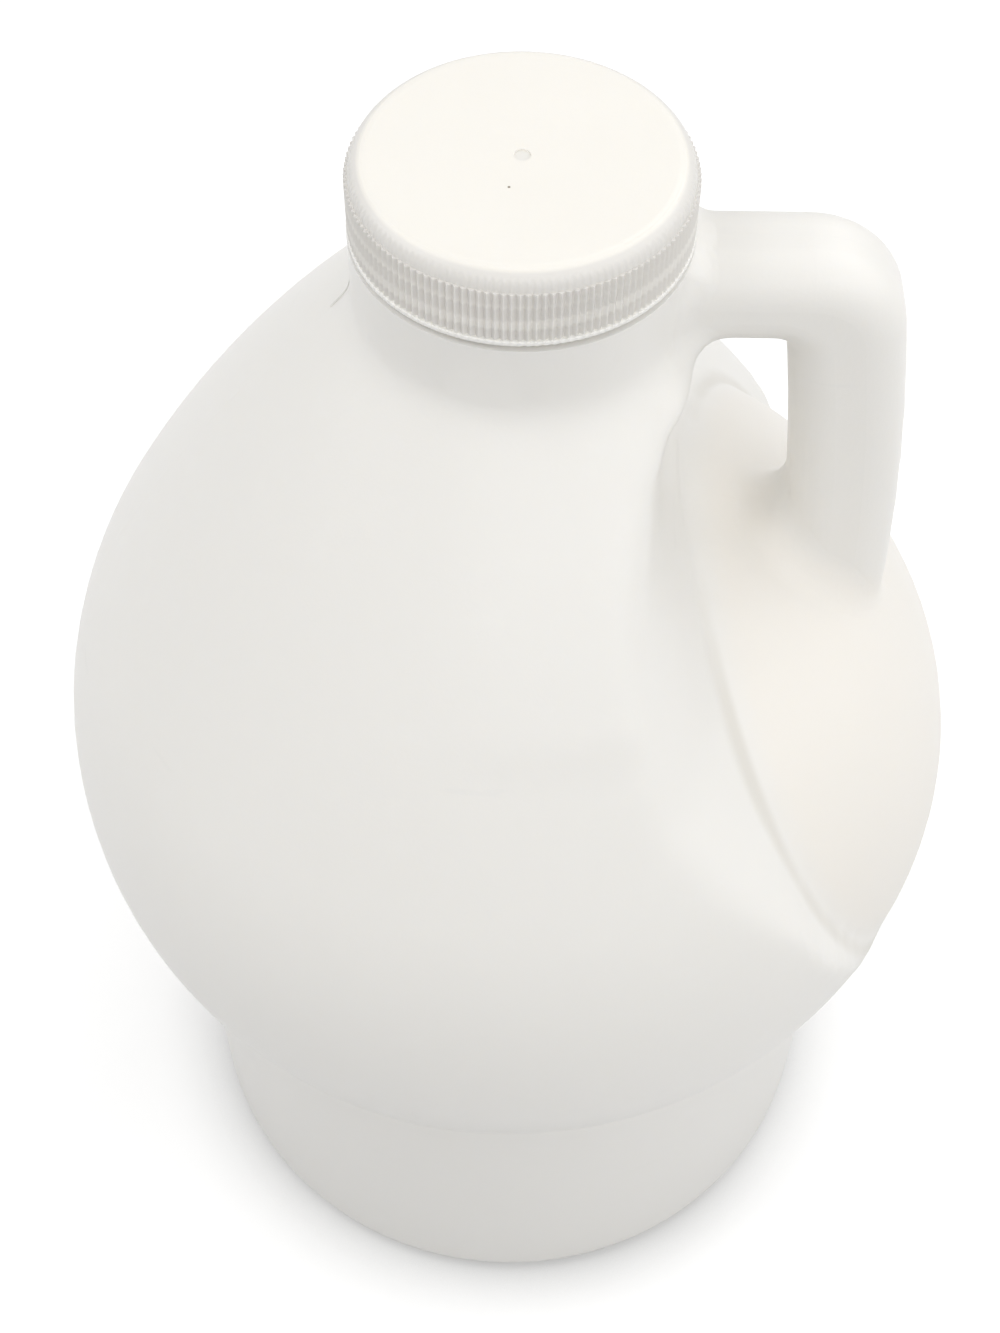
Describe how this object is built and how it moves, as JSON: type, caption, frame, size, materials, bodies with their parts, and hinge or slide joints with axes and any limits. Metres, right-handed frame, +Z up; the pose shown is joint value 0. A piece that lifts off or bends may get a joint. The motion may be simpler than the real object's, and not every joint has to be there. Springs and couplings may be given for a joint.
{
  "type": "conditioner refill jug",
  "caption": "Blow-moulded refill jug for conditioner: a globe on a round foot, a looped grip over a scooped shoulder, and a shallow ribbed screw cap.",
  "frame": {"origin": "centre of the foot's ring, on the plane that the jug stands on", "axes": "+Z up along the axis of the neck, globe and foot; +X towards the grip; Y across, square to the mould's parting plane"},
  "size_m": [0.1758, 0.176, 0.276],
  "materials": {
    "jug_plastic": "satin natural white, faintly translucent",
    "cap_plastic": "satin warm white"
  },
  "bodies": {
    "root": {"jug": "jug_plastic", "cap": "cap_plastic"}
  },
  "joints": []
}
